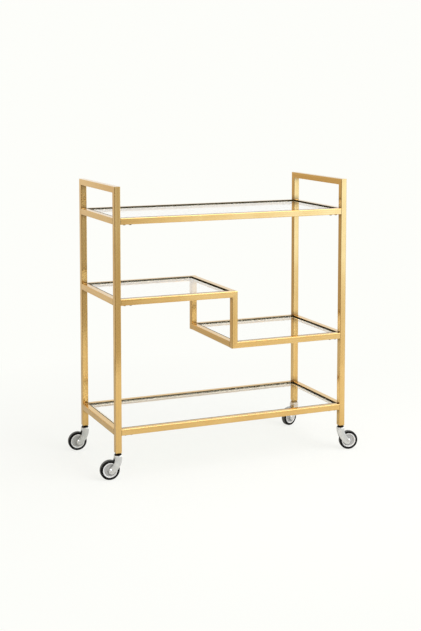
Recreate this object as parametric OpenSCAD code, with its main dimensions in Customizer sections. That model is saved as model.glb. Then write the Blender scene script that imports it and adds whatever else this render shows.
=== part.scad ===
// Two-level-and-a-half serving trolley: a square-tube frame in satin gold, four inset glass
// shelves of which the middle ones are stepped, and four swivel casters.
// Millimetres. +Z is up, +X runs along the trolley, -Y is its front, z = 0 is the floor.

/* [Frame] */
// Width over the end frames
frame_w = 820; // [600:1:1100]
// Depth over the posts
frame_d = 364; // [280:1:500]
// Outside of the square tube
tube = 20; // [18:0.5:28]
// Wall of the square tube
wall = 1.2; // [1:0.1:2]
// Radius on the tube's outer corners
tube_r = 1.6; // [0.8:0.1:3]
// Post end up to the underside of the bottom shelf's rails
leg_h = 54; // [35:1:120]
// Step across the width, from the middle to the drop posts' centre line
step_x = 0; // [-100:1:100]

/* [Shelf heights, from the bottom shelf's upper edge] */
// Up to the lower half shelf
lower_rise = 245; // [150:1:300]
// Up to the upper half shelf
upper_rise = 413; // [350:1:500]
// Up to the top shelf
top_rise = 667; // [560:1:800]
// Top shelf's upper edge to the top of the handle bars
handle_rise = 99; // [70:1:160]

/* [Glass and its seat] */
// Thickness of the glass panes
glass_t = 5; // [4:0.5:8]
// Depth of the glass face under the rails' upper edge
glass_recess = 2.8; // [1:0.1:6]
// Wall of the rubber gasket round a pane
gasket_wall = 1.5; // [1:0.1:2.5]
// Rubber under the pane
gasket_floor = 1; // [0.6:0.1:2]
// Reach of the rubber's floor from the rails
gasket_reach = 4; // [4:0.5:10]
// Gasket's lip above the rails' upper edge
gasket_lip = 0.3; // [0:0.1:1]
// Width of the flat bar that carries the pane
ledge_w = 12; // [11:0.5:20]
// Thickness of the flat bar that carries the pane
ledge_t = 2; // [1.5:0.1:3]
// Gap round the gasket and round the pane in it
seat_gap = 0.2; // [0.1:0.05:0.4]

/* [Rail joints] */
// Length of the tongue inside a rail's end
tongue_l = 46; // [42:1:60]
// Wall of the tongue
tongue_wall = 3.5; // [3:0.1:4.5]
// Gap between the tongue and the rail's inner wall
tongue_gap = 0.2; // [0.1:0.05:0.4]
// First screw, from the post's face
screw_in = 15; // [12:1:18]
// Second screw, from the first
screw_step = 20; // [14:1:20]
// Thread of the frame screws
screw_d = 5; // [4:0.5:6]
// Shank length of the frame screws
screw_l = 9; // [7:0.5:11]
// Head width of the frame screws
screw_head_d = 9; // [8.5:0.5:11]
// Head height of the frame screws
screw_head_h = 3; // [2.5:0.1:4]
// Hexagon socket in the screw heads, across its flats
socket_w = 3; // [2.5:0.1:4]
// Depth of the hexagon socket
socket_h = 1.6; // [1:0.1:2]

/* [Caster] */
// Wheel diameter
wheel_d = 63; // [50:1:75]
// Tyre width
wheel_w = 17; // [14:0.5:22]
// Tyre's height from rim to tread
tyre_h = 7; // [5:0.5:9]
// Radius on the tyre's shoulders
tyre_r = 3.4; // [2:0.1:4]
// Axle behind the swivel line
trail = 27; // [22:1:34]
// Wheel's top up to the fork's crown
crown_gap = 12; // [10:1:18]
// Sheet thickness of the fork
fork_sheet = 1.8; // [1.5:0.1:2.5]
// Width of the fork's arms and length of its crown
arm_w = 22; // [20:0.5:26]
// Tyre to fork, each side
side_gap = 0.7; // [0.5:0.1:1.5]
// How far the front web reaches down from the crown
front_web_h = 25; // [15:1:30]
// Axle diameter
axle_d = 6; // [5:0.5:8]
// Axle's head diameter
axle_head_d = 10; // [9:0.5:12]
// Axle's head height
axle_head_h = 2.4; // [1.5:0.1:3]
// Swivel pin diameter
pin_d = 8; // [6:0.5:9]
// Wall of the swivel bush
bush_wall = 1.5; // [1:0.1:2]
// Diameter of the race on top of the fork
race_d = 23; // [20:0.5:26]
// Height of the race
race_h = 2.2; // [1.5:0.1:4]
// Lock nut, across its flats
nut_w = 15; // [14:0.5:16]
// Lock nut's height
nut_h = 2.8; // [2:0.1:6]
// Threaded stem diameter
stem_d = 10; // [8:1:12]
// Stem's length in the post plug
stem_l = 22; // [18:1:30]
// Plug's length in the post
plug_l = 28; // [25:1:40]
// Plug's bevelled lip under the post
plug_lip = 2.9; // [2:0.1:5]

/* [Headings at rest, 0 trails to the left] */
// Front left caster
front_left_turn = -5; // [-180:1:180]
// Back left caster
back_left_turn = -4; // [-180:1:180]
// Front right caster
front_right_turn = 165; // [-180:1:180]
// Back right caster
back_right_turn = 20; // [-180:1:180]

/* [Running clearances] */
// Radial gap of the axle in the hub and of the bush in the fork
running_gap = 0.05; // [0.02:0.01:0.1]
// End gap between parts that turn on each other
end_gap = 0.3; // [0.2:0.05:0.5]
// Radial gap of parts that are fixed in each other
fixed_gap = 0.05; // [0.02:0.01:0.1]

/* [Hidden] */

$fn = 48;

// Sides and ends, as signs along X and Y
LEFT = -1;
RIGHT = 1;
FRONT = -1;
BACK = 1;
SIDES = [FRONT, BACK];

// How far a cutting shape runs past the surface that it cuts
CUT = 1;
// Size of the block that cuts a mitre
MITRE_BLOCK = 4 * tube;

// Finishes
GOLD = [0.80, 0.66, 0.43];
DARK_GOLD = [0.66, 0.53, 0.33];
STEEL = [0.35, 0.34, 0.32];
ZINC = [0.76, 0.77, 0.76];
HUB_GREY = [0.66, 0.67, 0.66];
RUBBER = [0.06, 0.06, 0.06];
NYLON = [0.90, 0.90, 0.88];
GLASS = [0.84, 0.93, 0.92, 0.35];

// Caster heights above the floor
axle_z = wheel_d / 2;
crown_z = wheel_d + crown_gap + fork_sheet;
race_z = crown_z + end_gap;
nut_z = race_z + race_h;
plug_z = nut_z + nut_h;
leg_z = plug_z + plug_lip;

// Upper edges of the rails above the floor
bottom_z = leg_z + leg_h + tube;
lower_z = bottom_z + lower_rise;
upper_z = bottom_z + upper_rise;
top_z = bottom_z + top_rise;
handle_z = top_z + handle_rise;

// Centre lines of the tubes, and the inner faces of the end frames
post_x = (frame_w - tube) / 2;
post_y = (frame_d - tube) / 2;
inner_x = frame_w / 2 - tube;
inner_y = frame_d / 2 - tube;
step_left = step_x - tube / 2;
step_right = step_x + tube / 2;

// Inside of the tube, and what slides into it
bore = tube - 2 * wall;
tongue = bore - 2 * tongue_gap;
plug = bore - 2 * fixed_gap;
lip_step = 0.3;
plug_lip_top = tube - 2 * lip_step;
plug_lip_end = nut_w + 2 * lip_step;

// Seat of the panes, down from the rails' upper edge
ledge_drop = glass_recess + glass_t + gasket_floor;

// Fork and wheel
fork_gap = wheel_w + 2 * side_gap;
fork_w = fork_gap + 2 * fork_sheet;
rim_r = wheel_d / 2 - tyre_h;
hub_w = fork_gap - 2 * end_gap;
rim_step = 0.5;
web_step = 2.5;
rim_edge = 4.6;
boss_wall = 3.4;
rim_w = wheel_w - 2 * rim_step;
web_w = wheel_w - 2 * web_step;
boss_r = axle_d / 2 + boss_wall;

// Swivel bush and the pin's riveted head
bush_d = pin_d + 2 * bush_wall;
bush_flange_d = bush_d + 3;
bush_flange_t = 1.2;
pin_head_d = bush_d + 2;
pin_head_h = 2.4;

// The arms drop straight from the crown and then sweep back. The axle sits a little inside
// the arms' centre line, and their round ends stop short of it.
crown_drop = 5;
axle_inset = 4.4;
end_lead = 4;
sweep_z = crown_z - crown_drop;
sweep_drop = sweep_z - axle_z;
sweep_r = (trail * trail + sweep_drop * sweep_drop - axle_inset * axle_inset) / (2 * (trail - axle_inset));
sweep_end = atan2(sweep_drop, sweep_r - trail) - end_lead;
rear_web_gap = 3;
rear_web_z = axle_z + sqrt(pow(wheel_d / 2 + rear_web_gap, 2) - pow(trail - arm_w / 2, 2));

// ---- shared shapes ----

// Square with round corners, centred
module round_square(size, r) {
    square([size, size - 2 * r], center = true);
    square([size - 2 * r, size], center = true);
    for (x = [-1, 1], y = [-1, 1])
        translate([x * (size / 2 - r), y * (size / 2 - r)]) circle(r = r);
}

// Block that cuts a bar at 45 degrees. The bar keeps its full length on its -X side for
// dir = 1 and on its +X side for dir = -1.
module mitre(dir) {
    translate([-dir * tube / 2, 0, 0])
        rotate([0, dir * 45, 0])
            translate([-MITRE_BLOCK / 2, -MITRE_BLOCK / 2, 0])
                cube(MITRE_BLOCK);
}

// Square tube along +Z from z = 0. start and end are 0 for a square cut or a mitre's dir.
module bar(length, start = 0, end = 0) {
    difference() {
        linear_extrude(length)
            difference() {
                round_square(tube, tube_r);
                square(bore, center = true);
            }
        if (end != 0) translate([0, 0, length]) mitre(end);
        if (start != 0) mirror([0, 0, 1]) mitre(start);
    }
}

// Tube along +X with its upper edge at z_top, on the front or back line
module long_rail(x_from, x_to, side, z_top, screws, start = 0, end = 0) {
    difference() {
        translate([x_from, side * post_y, z_top - tube / 2])
            rotate([0, 90, 0])
                bar(x_to - x_from, start, end);
        for (x = screws)
            translate([x, side * post_y, z_top - tube - CUT])
                cylinder(h = wall + 2 * CUT, d = screw_d + 2 * tongue_gap);
    }
}

// Tube along Y between the front and back lines, with its upper edge at z_top
module short_rail(x, z_top) {
    translate([x, -inner_y, z_top - tube / 2])
        rotate([-90, 0, 0])
            bar(2 * inner_y);
}

// Places of the two screws at a post, end is LEFT or RIGHT
function screw_places(end) = [for (i = [0, 1]) end * (inner_x - screw_in - i * screw_step)];

// Upper edges of the rails that meet an end frame
function rail_heights(end) = [bottom_z, end == LEFT ? upper_z : lower_z, top_z];

// ---- end frames ----

module post(end, side) {
    color(GOLD)
        translate([end * post_x, side * post_y, leg_z])
            rotate([0, 0, 90])
                bar(handle_z - leg_z, 0, -side);
}

module handle_bar(end) {
    color(GOLD)
        translate([end * post_x, -frame_d / 2, handle_z - tube / 2])
            rotate([-90, 0, 0])
                rotate([0, 0, 90])
                    bar(frame_d, 1, 1);
}

module end_rail(end, z_top) {
    color(GOLD) short_rail(end * post_x, z_top);
}

module left_front_post() { post(LEFT, FRONT); }
module left_back_post() { post(LEFT, BACK); }
module left_handle_bar() { handle_bar(LEFT); }
module left_top_end_rail() { end_rail(LEFT, top_z); }
module left_middle_end_rail() { end_rail(LEFT, upper_z); }
module left_bottom_end_rail() { end_rail(LEFT, bottom_z); }
module right_front_post() { post(RIGHT, FRONT); }
module right_back_post() { post(RIGHT, BACK); }
module right_handle_bar() { handle_bar(RIGHT); }
module right_top_end_rail() { end_rail(RIGHT, top_z); }
module right_middle_end_rail() { end_rail(RIGHT, lower_z); }
module right_bottom_end_rail() { end_rail(RIGHT, bottom_z); }

// ---- long rails of the top and bottom shelves ----

module full_rail(side, z_top) {
    color(GOLD)
        long_rail(-inner_x, inner_x, side, z_top, concat(screw_places(LEFT), screw_places(RIGHT)));
}

module top_front_rail() { full_rail(FRONT, top_z); }
module top_back_rail() { full_rail(BACK, top_z); }
module bottom_front_rail() { full_rail(FRONT, bottom_z); }
module bottom_back_rail() { full_rail(BACK, bottom_z); }

// ---- stepped middle frame ----

module upper_rail(side) {
    color(GOLD) long_rail(-inner_x, step_right, side, upper_z, screw_places(LEFT), 0, 1);
}

module lower_rail(side) {
    color(GOLD) long_rail(step_left, inner_x, side, lower_z, screw_places(RIGHT), -1, 0);
}

module drop_post(side) {
    color(GOLD)
        translate([step_x, side * post_y, lower_z - tube])
            bar(upper_z - lower_z + tube, 1, -1);
}

module upper_front_rail() { upper_rail(FRONT); }
module upper_back_rail() { upper_rail(BACK); }
module upper_cross_rail() { color(GOLD) short_rail(step_x, upper_z); }
module front_drop_post() { drop_post(FRONT); }
module back_drop_post() { drop_post(BACK); }
module lower_cross_rail() { color(GOLD) short_rail(step_x, lower_z); }
module lower_front_rail() { lower_rail(FRONT); }
module lower_back_rail() { lower_rail(BACK); }

// ---- tongues and screws that join the rails to the end frames ----

// Hollow square tongue, welded to a post's inner face
module tongue(end, side, z_top) {
    translate([end * inner_x, side * post_y, z_top - tube / 2])
        difference() {
            rotate([0, -end * 90, 0])
                linear_extrude(tongue_l)
                    difference() {
                        square(tongue, center = true);
                        square(tongue - 2 * tongue_wall, center = true);
                    }
            for (x = screw_places(end))
                translate([x - end * inner_x, 0, -tongue / 2 - CUT])
                    cylinder(h = tongue_wall + 2 * CUT, d = screw_d + 2 * fixed_gap);
        }
}

module rail_tongues(end) {
    color(DARK_GOLD)
        for (side = SIDES, z_top = rail_heights(end))
            tongue(end, side, z_top);
}

module left_rail_tongues() { rail_tongues(LEFT); }
module right_rail_tongues() { rail_tongues(RIGHT); }

// Domed screw along +Z, its head's seat at z = 0
module screw() {
    dome_r = screw_head_d;
    cylinder(h = screw_l, d = screw_d);
    difference() {
        rotate_extrude()
            intersection() {
                translate([0, -screw_head_h]) square([screw_head_d / 2, screw_head_h]);
                translate([0, dome_r - screw_head_h]) circle(r = dome_r);
            }
        translate([0, 0, -screw_head_h - CUT])
            cylinder(h = socket_h + CUT, d = socket_w / cos(30), $fn = 6);
    }
}

module rail_screws() {
    color(STEEL)
        for (end = [LEFT, RIGHT], side = SIDES, z_top = rail_heights(end), x = screw_places(end))
            translate([x, side * post_y, z_top - tube]) screw();
}

// ---- panes and their seats ----

// Flat bars round the inside of a shelf frame that spans x_from to x_to
module glass_ledges(x_from, x_to, z_top) {
    color(GOLD)
        translate([0, 0, z_top - ledge_drop - ledge_t]) {
            for (y = [-inner_y, inner_y - ledge_w])
                translate([x_from, y, 0]) cube([x_to - x_from, ledge_w, ledge_t]);
            for (x = [x_from, x_to - ledge_w])
                translate([x, -inner_y + ledge_w, 0])
                    cube([ledge_w, 2 * (inner_y - ledge_w), ledge_t]);
        }
}

// Block that stands in by the given amount from the frame's inner faces
module inset_block(x_from, x_to, inset, z_from, z_to) {
    translate([x_from + inset, -inner_y + inset, z_from])
        cube([x_to - x_from - 2 * inset, 2 * (inner_y - inset), z_to - z_from]);
}

// Rubber channel round a pane: an upright wall and a floor under the pane's edge
module gasket(x_from, x_to, z_top) {
    seat_z = z_top - ledge_drop;
    color(RUBBER)
        difference() {
            inset_block(x_from, x_to, seat_gap, seat_z, z_top + gasket_lip);
            inset_block(x_from, x_to, seat_gap + gasket_wall, seat_z + gasket_floor, z_top + gasket_lip + CUT);
            inset_block(x_from, x_to, seat_gap + gasket_reach, seat_z - CUT, z_top);
        }
}

module pane(x_from, x_to, z_top) {
    color(GLASS)
        inset_block(x_from, x_to, gasket_wall + 2 * seat_gap, z_top - glass_recess - glass_t, z_top - glass_recess);
}

module top_glass_ledges() { glass_ledges(-inner_x, inner_x, top_z); }
module upper_glass_ledges() { glass_ledges(-inner_x, step_left, upper_z); }
module lower_glass_ledges() { glass_ledges(step_right, inner_x, lower_z); }
module bottom_glass_ledges() { glass_ledges(-inner_x, inner_x, bottom_z); }
module top_gasket() { gasket(-inner_x, inner_x, top_z); }
module upper_gasket() { gasket(-inner_x, step_left, upper_z); }
module lower_gasket() { gasket(step_right, inner_x, lower_z); }
module bottom_gasket() { gasket(-inner_x, inner_x, bottom_z); }
module top_glass() { pane(-inner_x, inner_x, top_z); }
module upper_glass() { pane(-inner_x, step_left, upper_z); }
module lower_glass() { pane(step_right, inner_x, lower_z); }
module bottom_glass() { pane(-inner_x, inner_x, bottom_z); }

// ---- what holds the casters in the posts ----

// Repeats a shape at the four posts
module at_posts() {
    for (end = [LEFT, RIGHT], side = SIDES)
        translate([end * post_x, side * post_y, 0]) children();
}

// Slab with sloping sides, as wide as the tube at its top and as the lock nut at its bottom
module plug_lip_slab() {
    top_x = plug_lip_top / 2;
    end_x = plug_lip_end / 2;
    translate([0, tube, 0])
        rotate([90, 0, 0])
            linear_extrude(2 * tube)
                polygon([[-end_x, 0], [end_x, 0], [top_x, plug_lip], [-top_x, plug_lip]]);
}

// Bevelled lip under the post: two crossed slabs, with the tube's round corners
module plug_lip_block() {
    intersection() {
        plug_lip_slab();
        rotate([0, 0, 90]) plug_lip_slab();
        linear_extrude(plug_lip) round_square(plug_lip_top, tube_r);
    }
}

module post_plugs() {
    color(GOLD)
        at_posts()
            difference() {
                union() {
                    translate([0, 0, plug_z]) plug_lip_block();
                    translate([-plug / 2, -plug / 2, leg_z]) cube([plug, plug, plug_l]);
                }
                translate([0, 0, plug_z - CUT])
                    cylinder(h = plug_lip + stem_l + 2 * CUT, d = stem_d + 2 * fixed_gap);
            }
}

module lock_nuts() {
    color(STEEL)
        at_posts()
            translate([0, 0, nut_z])
                difference() {
                    cylinder(h = nut_h, d = nut_w / cos(30), $fn = 6);
                    translate([0, 0, -CUT]) cylinder(h = nut_h + 2 * CUT, d = stem_d + 2 * fixed_gap);
                }
}

// Threaded stem, race, and the pin with its riveted head under the fork's crown
module caster_stems() {
    pin_end = crown_z - fork_sheet - end_gap - bush_flange_t;
    color(STEEL)
        at_posts() {
            translate([0, 0, race_z]) cylinder(h = race_h, d = race_d);
            translate([0, 0, nut_z]) cylinder(h = nut_h + plug_lip + stem_l, d = stem_d);
            translate([0, 0, pin_end - pin_head_h]) cylinder(h = race_z - pin_end + pin_head_h, d = pin_d);
            translate([0, 0, pin_end - pin_head_h]) cylinder(h = pin_head_h, d = pin_head_d);
        }
}

// Sleeve on the pin, with a flange under the crown
module swivel_bushes() {
    flange_z = crown_z - fork_sheet - end_gap - bush_flange_t;
    color(NYLON)
        at_posts()
            difference() {
                union() {
                    translate([0, 0, flange_z]) cylinder(h = bush_flange_t, d = bush_flange_d);
                    translate([0, 0, flange_z]) cylinder(h = race_z - flange_z, d = bush_d);
                }
                translate([0, 0, flange_z - CUT])
                    cylinder(h = race_z - flange_z + 2 * CUT, d = pin_d + 2 * fixed_gap);
            }
}

// ---- casters, drawn trailing to -X with the swivel line at the origin ----

// Moves a caster part under its post and turns it to its heading
module caster(end, side, turn) {
    translate([end * post_x, side * post_y, 0]) rotate([0, 0, turn]) children();
}

// Turns a flat drawing in X and height upright, width wide and centred on Y
module across(width) {
    translate([0, width / 2, 0]) rotate([90, 0, 0]) linear_extrude(width) children();
}

// Ring sector below the sweep centre, between two radii, down to an angle
module sweep(r_in, r_out, angle) {
    reach = 2 * r_out;
    translate([-sweep_r, sweep_z])
        intersection() {
            difference() {
                circle(r = r_out, $fn = 96);
                circle(r = r_in, $fn = 96);
            }
            polygon([[0, 0], [reach, 0], [reach, -reach * tan(angle / 2)],
                     [reach * cos(angle), -reach * sin(angle)]]);
        }
}

// Side view of the fork
module arm_outline() {
    translate([-arm_w / 2, sweep_z]) square([arm_w, crown_z - sweep_z]);
    sweep(sweep_r - arm_w / 2, sweep_r + arm_w / 2, sweep_end);
    translate([-sweep_r + sweep_r * cos(sweep_end), sweep_z - sweep_r * sin(sweep_end)])
        circle(r = arm_w / 2);
}

// Strip of sheet along the fork's front edge
module front_web_outline() {
    web_end = asin((front_web_h - crown_z + sweep_z) / (sweep_r + arm_w / 2));
    translate([arm_w / 2 - fork_sheet, sweep_z]) square([fork_sheet, crown_z - sweep_z]);
    sweep(sweep_r + arm_w / 2 - fork_sheet, sweep_r + arm_w / 2, web_end);
}

module fork() {
    color(ZINC)
        difference() {
            union() {
                for (side = SIDES)
                    translate([0, side * (fork_gap + fork_sheet) / 2, 0])
                        across(fork_sheet) arm_outline();
                across(fork_w - fork_sheet) front_web_outline();
                across(fork_w - fork_sheet)
                    translate([-arm_w / 2, rear_web_z]) square([fork_sheet, crown_z - rear_web_z]);
                across(fork_w - fork_sheet)
                    translate([-arm_w / 2, crown_z - fork_sheet]) square([arm_w, fork_sheet]);
            }
            translate([0, 0, crown_z - fork_sheet - CUT])
                cylinder(h = fork_sheet + 2 * CUT, d = bush_d + 2 * running_gap);
            translate([-trail, fork_w / 2 + CUT, axle_z])
                rotate([90, 0, 0])
                    cylinder(h = fork_w + 2 * CUT, d = axle_d + 2 * fixed_gap);
        }
}

// Turns a profile drawn as radius and width about the axle
module on_axle() {
    translate([-trail, 0, axle_z]) rotate([-90, 0, 0]) rotate_extrude($fn = 96) children();
}

module axle() {
    dome_r = axle_head_d * 3 / 4;
    color(ZINC)
        on_axle() {
            translate([0, -fork_w / 2]) square([axle_d / 2, fork_w]);
            for (side = SIDES)
                translate([0, side * fork_w / 2])
                    scale([1, side])
                        intersection() {
                            square([axle_head_d / 2, axle_head_h]);
                            translate([0, axle_head_h - dome_r]) circle(r = dome_r);
                        }
        }
}

module hub() {
    bore_r = axle_d / 2 + running_gap;
    color(HUB_GREY)
        on_axle() {
            translate([bore_r, -hub_w / 2]) square([boss_r - bore_r, hub_w]);
            translate([boss_r, -web_w / 2]) square([rim_r - rim_edge - boss_r, web_w]);
            translate([rim_r - rim_edge, -rim_w / 2]) square([rim_edge, rim_w]);
        }
}

module tyre() {
    r_in = rim_r + fixed_gap;
    r_out = wheel_d / 2;
    color(RUBBER)
        on_axle() {
            translate([r_in, -wheel_w / 2]) square([r_out - tyre_r - r_in, wheel_w]);
            translate([r_in, tyre_r - wheel_w / 2]) square([r_out - r_in, wheel_w - 2 * tyre_r]);
            for (side = SIDES)
                translate([r_out - tyre_r, side * (wheel_w / 2 - tyre_r)]) circle(r = tyre_r);
        }
}

module front_left_fork() { caster(LEFT, FRONT, front_left_turn) fork(); }
module front_left_axle() { caster(LEFT, FRONT, front_left_turn) axle(); }
module front_left_hub() { caster(LEFT, FRONT, front_left_turn) hub(); }
module front_left_tyre() { caster(LEFT, FRONT, front_left_turn) tyre(); }
module back_left_fork() { caster(LEFT, BACK, back_left_turn) fork(); }
module back_left_axle() { caster(LEFT, BACK, back_left_turn) axle(); }
module back_left_hub() { caster(LEFT, BACK, back_left_turn) hub(); }
module back_left_tyre() { caster(LEFT, BACK, back_left_turn) tyre(); }
module front_right_fork() { caster(RIGHT, FRONT, front_right_turn) fork(); }
module front_right_axle() { caster(RIGHT, FRONT, front_right_turn) axle(); }
module front_right_hub() { caster(RIGHT, FRONT, front_right_turn) hub(); }
module front_right_tyre() { caster(RIGHT, FRONT, front_right_turn) tyre(); }
module back_right_fork() { caster(RIGHT, BACK, back_right_turn) fork(); }
module back_right_axle() { caster(RIGHT, BACK, back_right_turn) axle(); }
module back_right_hub() { caster(RIGHT, BACK, back_right_turn) hub(); }
module back_right_tyre() { caster(RIGHT, BACK, back_right_turn) tyre(); }

left_front_post();
left_back_post();
left_handle_bar();
left_top_end_rail();
left_middle_end_rail();
left_bottom_end_rail();
right_front_post();
right_back_post();
right_handle_bar();
right_top_end_rail();
right_middle_end_rail();
right_bottom_end_rail();
top_front_rail();
top_back_rail();
bottom_front_rail();
bottom_back_rail();
upper_front_rail();
upper_back_rail();
upper_cross_rail();
front_drop_post();
back_drop_post();
lower_cross_rail();
lower_front_rail();
lower_back_rail();
left_rail_tongues();
right_rail_tongues();
rail_screws();
top_glass_ledges();
upper_glass_ledges();
lower_glass_ledges();
bottom_glass_ledges();
top_gasket();
upper_gasket();
lower_gasket();
bottom_gasket();
top_glass();
upper_glass();
lower_glass();
bottom_glass();
post_plugs();
lock_nuts();
caster_stems();
swivel_bushes();
front_left_fork();
front_left_axle();
front_left_hub();
front_left_tyre();
back_left_fork();
back_left_axle();
back_left_hub();
back_left_tyre();
front_right_fork();
front_right_axle();
front_right_hub();
front_right_tyre();
back_right_fork();
back_right_axle();
back_right_hub();
back_right_tyre();
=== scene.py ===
"""Dessert trolley in satin gold square tube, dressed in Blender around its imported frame.

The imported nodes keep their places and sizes. The tubes, panes, screws and axles get finishes, and
the pieces whose real form is finer than a plain solid (casters, wheels, nuts, plugs, rubber seats,
welds) are modelled here in their place. Everything is in metres, in the frame's own coordinates.
"""

import logging
import math
from collections.abc import Callable, Iterable, Sequence
from dataclasses import dataclass, field
from enum import Enum
from typing import Any

import bmesh
import bpy
from mathutils import Matrix, Vector

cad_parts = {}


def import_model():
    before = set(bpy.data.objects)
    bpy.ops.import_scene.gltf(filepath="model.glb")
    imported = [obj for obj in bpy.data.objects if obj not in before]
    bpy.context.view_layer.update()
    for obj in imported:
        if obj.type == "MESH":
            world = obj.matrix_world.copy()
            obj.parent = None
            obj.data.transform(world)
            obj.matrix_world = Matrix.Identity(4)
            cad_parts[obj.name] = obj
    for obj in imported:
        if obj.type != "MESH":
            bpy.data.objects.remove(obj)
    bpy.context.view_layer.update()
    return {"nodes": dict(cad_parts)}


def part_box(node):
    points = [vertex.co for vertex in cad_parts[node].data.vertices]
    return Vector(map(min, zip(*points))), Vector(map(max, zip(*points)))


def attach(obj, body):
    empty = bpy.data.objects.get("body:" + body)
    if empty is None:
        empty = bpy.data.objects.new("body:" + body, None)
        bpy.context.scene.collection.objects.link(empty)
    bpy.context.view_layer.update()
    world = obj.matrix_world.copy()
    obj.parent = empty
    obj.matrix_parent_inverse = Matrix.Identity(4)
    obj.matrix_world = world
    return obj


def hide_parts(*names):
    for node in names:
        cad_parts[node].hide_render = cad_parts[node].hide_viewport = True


LOG = logging.getLogger("dessert_trolley")
# Attribute for the tyre's paler tread tone: floor wear, and partly a painted sheen.
TREAD_WEAR_AND_SHEEN = "tread_wear"

MM = 0.001
NEAR = MM / 10
MERGE_PACKED = 0.005 * MM
MERGE_NEW = 0.001 * MM
POST_X = 400 * MM
POST_Y = 172 * MM
QUARTER = math.pi / 2

LOOSE_SPREAD = (0.3, 0.7)
TIGHT_SPREAD = (0.35, 0.65)
COLOUR_MIX_INPUTS = (0, 6, 7)
COLOUR_MIX_RESULT = 2

Colour = tuple[float, float, float]
Rings = Sequence[tuple[float, float]]
Socket = bpy.types.NodeSocket


# --- Named options ---


class Grain(Enum):
    """Direction in which a tube was brushed, which is along its own length."""

    ALONG_X = 0
    ALONG_Y = 1
    ALONG_Z = 2

    @property
    def direction(self) -> Vector:
        """Return the unit vector along the grain."""
        return Vector([1.0 if i == self.value else 0.0 for i in range(3)])


class Corner(Enum):
    """The four corners of the trolley: signs along X and Y, and the caster's heading in degrees."""

    FRONT_LEFT = (-1, -1, -5.0)
    BACK_LEFT = (-1, 1, -4.0)
    FRONT_RIGHT = (1, -1, 165.0)
    BACK_RIGHT = (1, 1, 20.0)

    @property
    def label(self) -> str:
        """Return the corner's name as the nodes and bodies spell it."""
        return self.name.lower()

    @property
    def foot(self) -> Vector:
        """Return the point on the floor under the corner's post, on the caster's swivel axis."""
        return Vector((self.value[0] * POST_X, self.value[1] * POST_Y, 0.0))

    @property
    def turn(self) -> float:
        """Return the caster's heading at rest, in radians."""
        return math.radians(self.value[2])


class Body(Enum):
    """What a piece rides on."""

    FRAME = "frame"
    CASTER = "caster"
    WHEEL = "wheel"

    def at(self, corner: Corner | None = None) -> str:
        """Return the body's packed name.

        Args:
            corner: The caster's corner, or None for the frame itself.
        """
        return self.value if corner is None else f"{corner.label}_{self.value}"


class Ray(Enum):
    """Kinds of ray that a stage material tells apart."""

    CAMERA = "Is Camera Ray"
    THROUGH_GLASS = "Is Transmission Ray"
    SHADOW = "Is Shadow Ray"
    DIFFUSE = "Is Diffuse Ray"


# --- Shader nodes ---


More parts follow.
